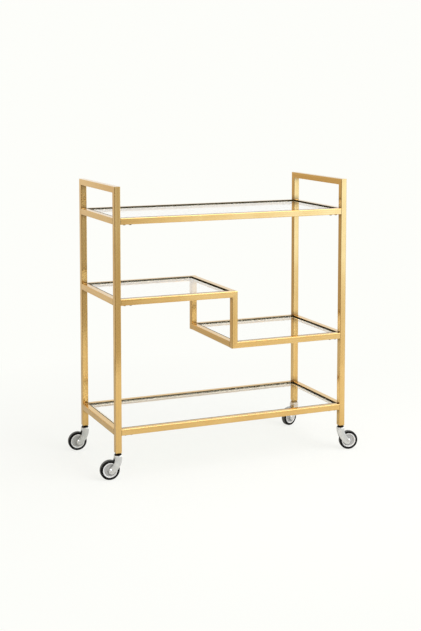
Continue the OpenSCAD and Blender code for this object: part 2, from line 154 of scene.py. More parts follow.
class NodeSheet:
    """A node tree that is filled one node at a time."""

    def __init__(self, tree: bpy.types.NodeTree) -> None:
        """Empty the tree.

        Args:
            tree: The material's or the world's node tree.
        """
        self.tree = tree
        tree.nodes.clear()

    def add(self, kind: str, settings: dict[str, Any] | None = None, **inputs: Any) -> bpy.types.Node:
        """Add a node.

        Args:
            kind: Blender's name of the node type.
            settings: Attributes of the node itself.
            **inputs: Input sockets by name, with _ for a space. A socket is linked, and any other
                value is set on the input.

        Returns:
            The new node.
        """
        node = self.tree.nodes.new(kind)
        for key, value in (settings or {}).items():
            setattr(node, key, value)
        for key, value in inputs.items():
            self.put(node, key.replace("_", " "), value)
        return node

    def put(self, node: bpy.types.Node, name: str | int, value: Any) -> None:
        """Link or set one input.

        Args:
            node: The node whose input it is.
            name: The input's name, or its number where names repeat.
            value: A socket to link, or a plain value.
        """
        socket = node.inputs[name]
        if isinstance(value, Socket):
            self.tree.links.new(value, socket)
        elif socket.type == "RGBA" and len(value) == 3:
            socket.default_value = (*value, 1.0)
        else:
            socket.default_value = value

    def math(self, operation: str, *values: Any) -> Socket:
        """Add a Math node.

        Args:
            operation: Blender's name of the operation.
            *values: Numbers or sockets, in the node's order.

        Returns:
            The result's socket.
        """
        node = self.add("ShaderNodeMath", {"operation": operation})
        for i, value in enumerate(values):
            self.put(node, i, value)
        return node.outputs[0]

    def blend(self, share: Any, first: Any, second: Any) -> Socket:
        """Mix two colours.

        Args:
            share: How much of the second one, a number or a socket.
            first: A colour or a socket.
            second: A colour or a socket.

        Returns:
            The mixed colour's socket.
        """
        node = self.add("ShaderNodeMix", {"data_type": "RGBA"})
        for number, value in zip(COLOUR_MIX_INPUTS, (share, first, second)):
            self.put(node, number, value)
        return node.outputs[COLOUR_MIX_RESULT]

    def either(self, share: Socket, first: Socket, second: Socket) -> Socket:
        """Mix two shaders.

        Args:
            share: How much of the second one.
            first: A shader.
            second: A shader.

        Returns:
            The mixed shader's socket.
        """
        node = self.add("ShaderNodeMixShader", Fac=share)
        self.put(node, 1, first)
        self.put(node, 2, second)
        return node.outputs[0]

    def span(
        self, value: Any, low: float, high: float, start: float = 0.0, end: float = 1.0
    ) -> Socket:
        """Map a value from start..end to low..high, without leaving that span.

        Args:
            value: The socket to map.
            low: Result at start.
            high: Result at end.
            start: Value that gives low.
            end: Value that gives high.

        Returns:
            The mapped value's socket.
        """
        node = self.add("ShaderNodeMapRange")
        for i, number in enumerate((value, start, end, low, high)):
            self.put(node, i, number)
        return node.outputs[0]

    def place(self, scale: Sequence[float] = (1.0, 1.0, 1.0)) -> Socket:
        """Return the piece's own coordinates in metres, stretched by a scale.

        Args:
            scale: Factors along X, Y and Z.
        """
        where = self.add("ShaderNodeTexCoord").outputs["Object"]
        return self.add("ShaderNodeMapping", Vector=where, Scale=tuple(scale)).outputs[0]

    def noise(
        self, vector: Socket, scale: float, detail: float = 2.0, roughness: float = 0.5
    ) -> Socket:
        """Return a noise value between 0 and 1.

        Args:
            vector: Where it is read.
            scale: Cells per metre.
            detail: Octaves.
            roughness: Weight of the finer octaves.
        """
        return self.add(
            "ShaderNodeTexNoise", Vector=vector, Scale=scale, Detail=detail, Roughness=roughness
        ).outputs[0]

    def nook(
        self, reach: float, most: float, deep: float = 0.42, open_air: float = 0.93, samples: int = 48
    ) -> Socket:
        """Return a share of painted shade for a point in a corner or a narrow gap, from 0 in the open to
        the most it may be.

        Args:
            reach: How far off the neighbouring surface may be, in metres.
            most: Value in a deep corner.
            deep: Share of open sky that counts as a deep corner.
            open_air: Share of open sky that counts as none.
            samples: How many directions are tried.
        """
        sky = self.add("ShaderNodeAmbientOcclusion", {"samples": samples}, Distance=reach)
        return self.span(sky.outputs["AO"], most, 0.0, deep, open_air)

    def any_ray(self, *rays: Ray) -> Socket:
        """Return 1 for the given kinds of ray and 0 for others.

        Args:
            *rays: One or more kinds.
        """
        path = self.add("ShaderNodeLightPath")
        found = path.outputs[rays[0].value]
        for ray in rays[1:]:
            found = self.math("MAXIMUM", found, path.outputs[ray.value])
        return found

    def finish(self, surface: Socket, kind: str = "ShaderNodeOutputMaterial") -> None:
        """Link the surface to the output.

        Args:
            surface: The shader's socket.
            kind: The output node's type.
        """
        self.tree.links.new(surface, self.add(kind).inputs["Surface"])


# --- Finishes ---


@dataclass(frozen=True)
class Finish:
    """A finish of one kind of surface. Its material is made on first use."""

    name: str
    colour: Colour
    roughness: float

    def material(self) -> bpy.types.Material:
        """Return the finish as a material."""
        made = bpy.data.materials.get(self.name)
        if made is None:
            made = bpy.data.materials.new(self.name)
            made.use_nodes = True
            sheet = NodeSheet(made.node_tree)
            sheet.finish(self.surface(sheet))
            made.diffuse_color = (*self.colour, 1.0)
        return made

    def surface(self, sheet: NodeSheet) -> Socket:
        """Draw the shader.

        Args:
            sheet: The material's nodes.

        Returns:
            The surface shader's socket.
        """
        raise NotImplementedError


@dataclass(frozen=True)
class SatinGold(Finish):
    """Brushed and plated steel tube: fine lines along its length, soft clouds in the sheen, and a
    painted shade of dark brown in the corners and creases where one tube meets another."""

    grain: Grain
    deep: Colour = (0.82, 0.50, 0.150)
    # Colour of the painted shade in corners and under rails.
    corner: Colour = (0.13, 0.060, 0.012)
    edge_tint: Colour = (0.84, 0.79, 0.70)
    line_scale: float = 520.0
    streak_scale: float = 140.0
    cloud_scale: float = 7.0
    line_stretch: float = 0.006
    line_strength: float = 0.05
    line_depth: float = 0.04 * MM
    gloss_swing: float = 0.04
    # Reach and strength of the painted corner shade.
    corner_reach: float = 30 * MM
    corner_share: float = 0.92
    anisotropy: float = 0.5
    grain_turn: float = 0.25
    lacquer: float = 0.6
    lacquer_roughness: float = 0.10

    def surface(self, sheet: NodeSheet) -> Socket:
        """Draw the gold. See Finish.surface."""
        stretch = [self.line_stretch if i == self.grain.value else 1.0 for i in range(3)]
        along_grain = sheet.place(stretch)
        lines = sheet.noise(along_grain, self.line_scale, 1.0, 0.5)
        streaks = sheet.noise(along_grain, self.streak_scale, 1.5, 0.5)
        clouds = sheet.noise(sheet.place(), self.cloud_scale, 4.0, 0.55)
        depth = sheet.math(
            "ADD",
            sheet.span(clouds, 0.0, 0.5, *TIGHT_SPREAD),
            sheet.span(streaks, 0.0, 0.5, *TIGHT_SPREAD),
        )
        tone = sheet.blend(depth, self.colour, self.deep)
        # Painted shade: brown in corners and creases, where the tubes block the sky.
        tone = sheet.blend(sheet.nook(self.corner_reach, self.corner_share), tone, self.corner)
        swing = self.gloss_swing
        gloss = sheet.math(
            "ADD",
            sheet.span(clouds, self.roughness - swing, self.roughness + swing, *LOOSE_SPREAD),
            sheet.span(lines, -swing, swing, *LOOSE_SPREAD),
        )
        bump = sheet.add(
            "ShaderNodeBump", Strength=self.line_strength, Distance=self.line_depth, Height=lines
        )
        along = self.grain.direction
        tangent = sheet.add("ShaderNodeCombineXYZ", X=along.x, Y=along.y, Z=along.z)
        shader = sheet.add(
            "ShaderNodeBsdfPrincipled",
            Base_Color=tone,
            Metallic=1.0,
            Roughness=gloss,
            Specular_Tint=self.edge_tint,
            Anisotropic=self.anisotropy,
            Anisotropic_Rotation=self.grain_turn,
            Tangent=tangent.outputs[0],
            Coat_Weight=self.lacquer,
            Coat_Roughness=self.lacquer_roughness,
            Normal=bump.outputs[0],
        )
        return shader.outputs[0]


@dataclass(frozen=True)
class PlatedMetal(Finish):
    """Plated or turned metal with a fine mottle, such as a zinc fork or a dark screw, with painted shade
    in its corners and narrow gaps where that is asked for.
    """

    shade: Colour
    mottle: float = 420.0
    flecks_per_cloud: float = 9.0
    fleck_share: float = 0.35
    dent_strength: float = 0.08
    dent_depth: float = 0.05 * MM
    wear: float = 0.05
    # Painted shade: how dark corners and narrow gaps are painted, 0 for none.
    grime: float = 0.0
    grime_colour: Colour = (0.05, 0.05, 0.048)
    grime_reach: float = 7 * MM

    def surface(self, sheet: NodeSheet) -> Socket:
        """Draw the plating. See Finish.surface."""
        here = sheet.place()
        spangle = sheet.add("ShaderNodeTexVoronoi", Vector=here, Scale=self.mottle).outputs["Color"]
        flecks = sheet.add("ShaderNodeSeparateColor", Color=spangle).outputs[0]
        clouds = sheet.noise(here, self.mottle / self.flecks_per_cloud, 3.0)
        share = sheet.math(
            "ADD",
            sheet.span(flecks, 0.0, self.fleck_share),
            sheet.span(clouds, 0.0, 1.0 - self.fleck_share, *LOOSE_SPREAD),
        )
        bump = sheet.add(
            "ShaderNodeBump", Strength=self.dent_strength, Distance=self.dent_depth, Height=clouds
        )
        tone = sheet.blend(share, self.colour, self.shade)
        # Painted shade, darker where nearby parts block the sky.
        if self.grime:
            tone = sheet.blend(sheet.nook(self.grime_reach, self.grime), tone, self.grime_colour)
        shader = sheet.add(
            "ShaderNodeBsdfPrincipled",
            Base_Color=tone,
            Metallic=1.0,
            Roughness=sheet.span(share, self.roughness - self.wear, self.roughness + self.wear),
            Normal=bump.outputs[0],
        )
        return shader.outputs[0]


@dataclass(frozen=True)
class MouldedPart(Finish):
    """Moulded plastic or rubber: a fine skin, slight clouds, a little dust and, on a tyre, a paler
    tread tone that stands for floor wear and partly for a painted sheen."""

    dust: Colour
    dust_share: float = 0.25
    dust_spread: tuple[float, float] = (0.42, 0.7)
    cloud_scale: float = 55.0
    gloss_swing: tuple[float, float] = (0.06, 0.08)
    skin_scale: float = 900.0
    skin_strength: float = 0.35
    skin_depth: float = 0.06 * MM
    mirror: float = 0.5
    # Paler tread colour, partly floor wear and partly a painted sheen.
    tread: Colour | None = None

    def surface(self, sheet: NodeSheet) -> Socket:
        """Draw the moulded skin. See Finish.surface."""
        here = sheet.place()
        clouds = sheet.noise(here, self.cloud_scale, 4.0, 0.6)
        skin = sheet.noise(here, self.skin_scale)
        bump = sheet.add(
            "ShaderNodeBump", Strength=self.skin_strength, Distance=self.skin_depth, Height=skin
        )
        dusty = sheet.span(clouds, 0.0, self.dust_share, *self.dust_spread)
        tone = sheet.blend(dusty, self.colour, self.dust)
        # Paler tread: partly floor wear, partly a painted sheen.
        if self.tread:
            wear_and_sheen = sheet.add("ShaderNodeAttribute", {"attribute_name": TREAD_WEAR_AND_SHEEN}).outputs["Fac"]
            tone = sheet.blend(wear_and_sheen, tone, self.tread)
        glossier, duller = self.gloss_swing
        shader = sheet.add(
            "ShaderNodeBsdfPrincipled",
            Base_Color=tone,
            Roughness=sheet.span(
                clouds, self.roughness - glossier, self.roughness + duller, *LOOSE_SPREAD
            ),
            Specular_IOR_Level=self.mirror,
            Normal=bump.outputs[0],
        )
        return shader.outputs[0]


@dataclass(frozen=True)
class ClearGlass(Finish):
    """Clear float glass with a faint green and hardly any wipe marks. Light for shadows and for
    diffuse bounces goes straight through it."""

    index: float = 1.5
    passed: Colour = (0.95, 0.97, 0.96)
    wipe_stretch: tuple[float, float, float] = (1.0, 3.0, 1.0)
    wipe_scale: float = 11.0
    wipe_spread: tuple[float, float] = (0.45, 0.75)

    def surface(self, sheet: NodeSheet) -> Socket:
        """Draw the glass. See Finish.surface."""
        wipes = sheet.noise(sheet.place(self.wipe_stretch), self.wipe_scale, 3.0)
        glass = sheet.add(
            "ShaderNodeBsdfPrincipled",
            Base_Color=self.colour,
            Roughness=sheet.span(wipes, 0.0, self.roughness, *self.wipe_spread),
            IOR=self.index,
            Transmission_Weight=1.0,
        )
        clear = sheet.add("ShaderNodeBsdfTransparent", Color=self.passed)
        passing = sheet.any_ray(Ray.SHADOW, Ray.DIFFUSE)
        return sheet.either(passing, glass.outputs[0], clear.outputs[0])


@dataclass(frozen=True)
class Finishes:
    """The trolley's own finishes."""

    gold: dict[Grain, SatinGold] = field(
        default_factory=lambda: {
            grain: SatinGold(f"satin_gold_{grain.name.lower()}", (0.93, 0.635, 0.24), 0.17, grain)
            for grain in Grain
        }
    )
    seat_bar: PlatedMetal = PlatedMetal("seat_bar_gold", (0.95, 0.84, 0.62), 0.42, (0.90, 0.78, 0.55))
    # The welds' brown is partly the beads' own darker tone and partly painted shade in the corners where
    # the tubes meet.
    weld: PlatedMetal = PlatedMetal("gold_weld", (0.50, 0.32, 0.11), 0.34, (0.34, 0.20, 0.06))
    tongue: PlatedMetal = PlatedMetal("plain_tongue", (0.66, 0.48, 0.24), 0.45, (0.50, 0.36, 0.18))
    # The fork gets painted shade in its corners and in the gaps beside the wheel.
    fork: PlatedMetal = PlatedMetal(
        "zinc_fork", (0.92, 0.93, 0.92), 0.32, (0.72, 0.74, 0.73), mottle=650.0, grime=0.9
    )
    axle: PlatedMetal = PlatedMetal(
        "turned_axle", (0.93, 0.93, 0.92), 0.22, (0.84, 0.84, 0.84), mottle=900.0
    )
    dark_steel: PlatedMetal = PlatedMetal(
        "dark_steel", (0.040, 0.034, 0.028), 0.42, (0.022, 0.019, 0.016)
    )
    screw: PlatedMetal = PlatedMetal(
        "black_screw", (0.015, 0.013, 0.011), 0.45, (0.010, 0.009, 0.008)
    )
    gasket: MouldedPart = MouldedPart(
        "seat_rubber", (0.036, 0.027, 0.008), 0.62, (0.060, 0.046, 0.018), mirror=0.02
    )
    # The tyre's paler tread tone is partly floor wear and partly a painted sheen.
    tyre: MouldedPart = MouldedPart(
        "tyre_rubber", (0.004, 0.004, 0.004), 0.50, (0.022, 0.022, 0.021),
        mirror=0.12, tread=(0.14, 0.14, 0.136),
    )
    disc: MouldedPart = MouldedPart("wheel_disc_plastic", (0.48, 0.48, 0.47), 0.42, (0.56, 0.56, 0.55))
    rim: MouldedPart = MouldedPart("rim_plastic", (0.95, 0.95, 0.94), 0.30, (0.86, 0.86, 0.85))
    bush: MouldedPart = MouldedPart("bush_nylon", (0.80, 0.80, 0.76), 0.40, (0.70, 0.69, 0.64))
    glass: ClearGlass = ClearGlass("clear_glass", (0.994, 0.999, 0.996), 0.008)


# --- Modelling ---


class Bench:
    """One new piece on the bench: started from a primitive or a copy, shaped in edit mode."""

    def __init__(self, piece: bpy.types.Object, name: str) -> None:
        """Take a piece onto the bench.

        Args:
            piece: The object that was just made.
            name: Its name from now on.
        """
        self.piece = piece
        piece.name = name
        piece.data.name = name

    @staticmethod
    def clear() -> None:
        """Deselect everything, so that an operator acts only on what is made next."""
        if bpy.context.object is not None and bpy.context.object.mode != "OBJECT":
            bpy.ops.object.mode_set(mode="OBJECT")
        bpy.ops.object.select_all(action="DESELECT")

    @classmethod
    def cylinder(cls, name: str, radius: float, depth: float, sides: int) -> "Bench":
        """Start from a cylinder along Z about the origin, closed by flat caps.

        Args:
            name: The piece's name.
            radius: Its radius.
            depth: Its length.
            sides: How many sides it has.
        """
        cls.clear()
        bpy.ops.mesh.primitive_cylinder_add(
            vertices=sides, radius=radius, depth=depth, end_fill_type="NGON", location=(0, 0, 0)
        )
        return cls(bpy.context.object, name)

    @classmethod
    def of_mesh(cls, mesh: bpy.types.Mesh, name: str) -> "Bench":
        """Start from a mesh that no other object uses.

        Args:
            mesh: The mesh.
            name: The piece's name.
        """
        cls.clear()
        piece = bpy.data.objects.new(name, mesh)
        bpy.context.scene.collection.objects.link(piece)
        bpy.context.view_layer.objects.active = piece
        piece.select_set(True)
        return cls(piece, name)

    @classmethod
    def copy_of(cls, node: bpy.types.Object, name: str) -> "Bench":
        """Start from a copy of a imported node, with its loose triangles merged.

        Args:
            node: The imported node's object, which stays as it is.
            name: The new piece's name.
        """
        made = cls.of_mesh(node.data.copy(), name)
        made.piece.data.materials.clear()
        if made.piece.data.has_custom_normals:
            bpy.ops.mesh.customdata_custom_splitnormals_clear()
        with made.editing("VERT"):
            bpy.ops.mesh.select_all(action="SELECT")
            bpy.ops.mesh.remove_doubles(threshold=MERGE_PACKED)
            bpy.ops.mesh.tris_convert_to_quads(
                face_threshold=math.radians(1), shape_threshold=math.radians(180)
            )
        return made

    def twin(self, name: str) -> "Bench":
        """Return a copy with its own mesh.

        Args:
            name: The copy's name.
        """
        return Bench.of_mesh(self.piece.data.copy(), name)

    def editing(self, mode: str = "FACE") -> "EditMode":
        """Return a context in which the piece is in edit mode.

        Args:
            mode: What is selected: VERT, EDGE or FACE.
        """
        return EditMode(self, mode)

    def pick(self, kind: str, test: Callable[[Any], bool]) -> None:
        """Select the points, edges or faces that pass a test, in edit mode.

        Args:
            kind: What is picked: verts, edges or faces.
            test: Takes one of them.
        """
        mesh = bmesh.from_edit_mesh(self.piece.data)
        bpy.ops.mesh.select_all(action="DESELECT")
        chosen = [element for element in getattr(mesh, kind) if test(element)]
        for element in chosen:
            element.select_set(True)
        bmesh.update_edit_mesh(self.piece.data)

    def step_caps(self, steps: Rings, bore: bool) -> None:
        """Shape both caps of a cylinder along Z by rings, from the rim inwards.

        Args:
            steps: For each ring its width and how far its inner edge stands out.
            bore: Whether what is left of the caps is opened into a bore.
        """
        with self.editing():
            self.pick("faces", lambda face: face.calc_center_median().xy.length < MM)
            for width, rise in steps:
                bpy.ops.mesh.inset(thickness=width, depth=rise, use_individual=True, use_even_offset=True)
            if bore:
                bpy.ops.mesh.delete(type="ONLY_FACE")
                bpy.ops.mesh.select_mode(type="EDGE")
                self.pick("edges", lambda edge: edge.is_boundary)
                bpy.ops.mesh.bridge_edge_loops()

    def bevel(self, width: float, segments: int = 2, angle: float = 35.0) -> None:
        """Round the sharp edges with an applied modifier.

        Args:
            width: The rounding's width.
            segments: Its steps.
            angle: Edges sharper than this many degrees are rounded.
        """
        rounding = self.piece.modifiers.new("rounding", "BEVEL")
        rounding.width = width
        rounding.segments = segments
        rounding.limit_method = "ANGLE"
        rounding.angle_limit = math.radians(angle)
        rounding.use_clamp_overlap = True
        rounding.miter_outer = "MITER_ARC"
        self.activate()
        bpy.ops.object.modifier_apply(modifier=rounding.name)

    def activate(self) -> None:
        """Make the piece the only selected and the active one."""
        self.clear()
        self.piece.select_set(True)
        bpy.context.view_layer.objects.active = self.piece

    def move(self, place: Matrix) -> "Bench":
        """Carry the piece to a place, and put that place into its mesh.

        Args:
            place: A turn and a shift.
        """
        self.piece.matrix_world = place
        self.activate()
        bpy.ops.object.transform_apply(location=True, rotation=True, scale=True)
        return self

    def smooth(self, angle: float = 32.0) -> "Bench":
        """Merge doubles, point the faces outwards and shade them smooth up to an angle.

        Args:
            angle: Sharper edges stay crisp, in degrees.
        """
        with self.editing():
            bpy.ops.mesh.select_all(action="SELECT")
            bpy.ops.mesh.remove_doubles(threshold=MERGE_NEW)
            bpy.ops.mesh.normals_make_consistent(inside=False)
        self.activate()
        bpy.ops.object.shade_smooth_by_angle(angle=math.radians(angle))
        return self

    def fit_out(self, finish: Finish, body: str, slot: str, *nodes: str) -> None:
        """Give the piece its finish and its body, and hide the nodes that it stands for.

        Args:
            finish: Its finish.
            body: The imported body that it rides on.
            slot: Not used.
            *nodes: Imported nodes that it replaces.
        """
        self.piece.data.materials.clear()
        self.piece.data.materials.append(finish.material())
        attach(self.piece, body)
        if nodes:
            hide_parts(*nodes)
        LOG.info("piece %s rides on %s", self.piece.name, body)


class EditMode:
    """Edit mode on one piece, left again at the end of the with block."""

    def __init__(self, bench: Bench, mode: str) -> None:
        """Name the piece and what is selected in it.

        Args:
            bench: The piece to edit.
            mode: VERT, EDGE or FACE.
        """
        self.bench = bench
        self.mode = mode

    def __enter__(self) -> "EditMode":
        """Enter edit mode with nothing selected."""
        self.bench.activate()
        bpy.ops.object.mode_set(mode="EDIT")
        bpy.ops.mesh.select_mode(type=self.mode)
        bpy.ops.mesh.select_all(action="DESELECT")
        return self

    def __exit__(self, *_: object) -> None:
        """Return to object mode."""
        bpy.ops.object.mode_set(mode="OBJECT")


def dress(nodes: dict[str, bpy.types.Object], names: Iterable[str], finish: Finish) -> None:
    """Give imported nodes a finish.

    Args:
        nodes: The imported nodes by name.
        names: Those to dress.
        finish: Their finish.
    """
    for name in names:
        for holder in nodes[name].material_slots:
            holder.material = finish.material()
        LOG.info("node %s in %s", name, finish.name)


def rings(width: float, steps: Rings) -> list[tuple[float, float]]:
    """Return rings in metres, from rings whose widths are shares of a whole width.

    Args:
        width: The whole width.
        steps: For each ring its share and how far its inner edge stands out.
    """
    return [(share * width, rise) for share, rise in steps]


# --- Sub-assemblies ---


@dataclass
class Tubework:
    """The square tubes: two end frames, the shelves' long rails and the stepped middle frame, with
    the small welds in the corners where one tube stands on another."""

    nodes: dict[str, bpy.types.Object]
    finishes: Finishes
    weld_size: float = 1.3 * MM
    weld_margin: float = 2.2 * MM
    weld_ripples: int = 14
    weld_sides: int = 24
    weld_waist: float = 0.9
    weld_tip: float = 0.55
    weld_crease: float = 50.0
    upright: tuple[str, ...] = (
        "left_front_post", "left_back_post", "right_front_post", "right_back_post",
        "front_drop_post", "back_drop_post",
    )
    across: tuple[str, ...] = (
        "left_handle_bar", "left_top_end_rail", "left_middle_end_rail", "left_bottom_end_rail",
        "right_handle_bar", "right_top_end_rail", "right_middle_end_rail", "right_bottom_end_rail",
        "upper_cross_rail", "lower_cross_rail",
    )
    lengthwise: tuple[str, ...] = (
        "top_front_rail", "top_back_rail", "bottom_front_rail", "bottom_back_rail",
        "upper_front_rail", "upper_back_rail", "lower_front_rail", "lower_back_rail",
    )

    def build(self) -> None:
        """Dress the tubes and weld the corners."""
        dress(self.nodes, self.upright, self.finishes.gold[Grain.ALONG_Z])
        dress(self.nodes, self.across, self.finishes.gold[Grain.ALONG_Y])
        dress(self.nodes, self.lengthwise, self.finishes.gold[Grain.ALONG_X])
        dress(self.nodes, ("left_rail_tongues", "right_rail_tongues"), self.finishes.tongue)
        dress(self.nodes, ("rail_screws",), self.finishes.screw)
        self.weld_corners()

    def bead(self, length: float) -> Bench:
        """Model a weld bead along X in the corner between the planes y = 0 and z = 0.

        Args:
            length: The bead's length.

        Returns:
            The bead, in the quarter where y and z are above 0.
        """
        bead = Bench.cylinder("weld_bead", self.weld_size, length, self.weld_sides)
        bead.move(Matrix.Rotation(QUARTER, 4, "Y"))
        ripple = length / self.weld_ripples
        waist, tip = self.weld_waist, self.weld_tip
        with bead.editing():
            for i in range(1, self.weld_ripples):
                bpy.ops.mesh.select_all(action="SELECT")
                bpy.ops.mesh.bisect(plane_co=(i * ripple - length / 2, 0, 0), plane_no=(1, 0, 0))
            for i in range(1, self.weld_ripples, 2):
                at = i * ripple - length / 2
                bead.pick("verts", lambda point, at=at: abs(point.co.x - at) < ripple / 4)
                bpy.ops.transform.resize(value=(1, waist, waist), center_override=(at, 0, 0))
            tip_start = length / 2 - ripple / 4
            for end in (-1, 1):
                bead.pick("verts", lambda point, end=end: point.co.x * end > tip_start)
                bpy.ops.transform.resize(value=(1, tip, tip), center_override=(end * length / 2, 0, 0))
            for normal in ((0, 1, 0), (0, 0, 1)):
                bpy.ops.mesh.select_all(action="SELECT")
                bpy.ops.mesh.bisect(
                    plane_co=(0, 0, 0), plane_no=normal, use_fill=True, clear_inner=True
                )
        return bead.smooth(self.weld_crease)

    def weld_corners(self) -> None:
        """Put a bead above and below each cross tube where it meets the front and back tubes."""
        low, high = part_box("left_top_end_rail")
        bead = self.bead(high.x - low.x - 2 * self.weld_margin)
        for name in self.across:
            if name.endswith("handle_bar"):
                continue
            low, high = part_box(name)
            middle = (low.x + high.x) / 2
            for side, y in (("front", low.y), ("back", high.y)):
                inwards = 1 if side == "front" else -1
                for face, z, up in (("upper", high.z, 1), ("under", low.z, -1)):
                    if not self.has_wall(name, up):
                        continue
                    twin = bead.twin(f"{name}_{side}_{face}_weld")
                    turned = Matrix.Diagonal((1, inwards, up, 1))
                    twin.move(Matrix.Translation((middle, y, z)) @ turned)
                    twin.smooth(self.weld_crease)
                    twin.fit_out(self.finishes.weld, Body.FRAME.at(), "tubes")
        bpy.data.objects.remove(bead.piece)

    @staticmethod
    def has_wall(name: str, up: int) -> bool:
        """Return whether the tube that a cross tube meets goes on above or below it.

        Args:
            name: The cross tube.
            up: 1 above it and -1 below it.
        """
        if name == "upper_cross_rail":
            return up < 0
        if name == "lower_cross_rail":
            return up > 0
        return True


@dataclass
class ShelfSeat:
    """One glass shelf: its pane, the rubber round it and the flat bars under it."""

    nodes: dict[str, bpy.types.Object]
    finishes: Finishes
    shelf: str
    rubber_round: float = 0.45 * MM
    bar_round: float = 0.35 * MM

    def build(self) -> None:
        """Dress the pane, and round the rubber and the bars."""
        dress(self.nodes, (f"{self.shelf}_glass",), self.finishes.glass)
        self.round_off("gasket", "rubber_seat", self.rubber_round, self.finishes.gasket, "gaskets")
        self.round_off("glass_ledges", "seat_bars", self.bar_round, self.finishes.seat_bar, "ledges")

    def round_off(self, node: str, piece: str, width: float, finish: Finish, slot: str) -> None:
        """Put a copy with rounded edges in the place of one of the shelf's nodes.

        Args:
            node: The node's name after the shelf's.
            piece: The new piece's name after the shelf's.
            width: The rounding's width.
            finish: The new piece's finish.
            slot: Not used.
        """
        packed = f"{self.shelf}_{node}"
        bench = Bench.copy_of(self.nodes[packed], f"{self.shelf}_{piece}")
        bench.bevel(width)
        bench.smooth().fit_out(finish, Body.FRAME.at(), slot, packed)


@dataclass
class PostFoot:
    """What closes a post's lower end: the bevelled plug and the caster's lock nut."""

    nodes: dict[str, bpy.types.Object]
    finishes: Finishes
    plug_round: float = 0.35 * MM
    nut_flats: float = 15 * MM
    nut_height: float = 2.8 * MM
    nut_bore: float = 10.1 * MM
    nut_low: float = 79.3 * MM
    nut_chamfer: float = 0.9 * MM
    nut_hex: float = 1.2 * MM
    nut_collar: float = 0.66
    nut_faces: Rings = ((0.35, 0.0), (0.2, -0.25 * MM))
    nut_crease: float = 25.0

    def build(self) -> None:
        """Round the plugs, and model the nut once and copy it to the four posts."""
        plugs = Bench.copy_of(self.nodes["post_plugs"], "post_plug_lips")
        plugs.bevel(self.plug_round)
        plugs.smooth().fit_out(
            self.finishes.gold[Grain.ALONG_Z], Body.FRAME.at(), "plugs", "post_plugs"
        )
        nut = self.nut()
        height = Vector((0.0, 0.0, self.nut_low + self.nut_height / 2))
        for corner in Corner:
            twin = nut.twin(f"{corner.label}_lock_nut")
            twin.move(Matrix.Translation(corner.foot + height))
            twin.fit_out(self.finishes.dark_steel, Body.FRAME.at(), "stems", "lock_nuts")
        bpy.data.objects.remove(nut.piece)
        dress(self.nodes, ("caster_stems",), self.finishes.dark_steel)
        dress(self.nodes, ("swivel_bushes",), self.finishes.bush)

    def nut(self) -> Bench:
        """Model a lock nut about the origin: a low hexagon with chamfered corners that narrows to
        a round-cornered collar."""
        radius = self.nut_flats / 2 / math.cos(math.pi / 6)
        nut = Bench.cylinder("lock_nut", radius, self.nut_height, 6)
        with nut.editing("VERT"):
            nut.pick("verts", lambda point: point.co.xy.length > radius / 2)
            bpy.ops.mesh.bevel(offset=self.nut_chamfer, segments=2, affect="VERTICES")
            bpy.ops.mesh.select_all(action="SELECT")
            shoulder = self.nut_hex - self.nut_height / 2
            bpy.ops.mesh.bisect(plane_co=(0, 0, shoulder), plane_no=(0, 0, 1))
            nut.pick("verts", lambda point: point.co.z > self.nut_height / 2 - NEAR)
            bpy.ops.transform.resize(
                value=(self.nut_collar, self.nut_collar, 1), center_override=(0, 0, 0)
            )
        nut.step_caps(rings(radius - self.nut_bore / 2, self.nut_faces), bore=False)
        return nut.smooth(self.nut_crease)


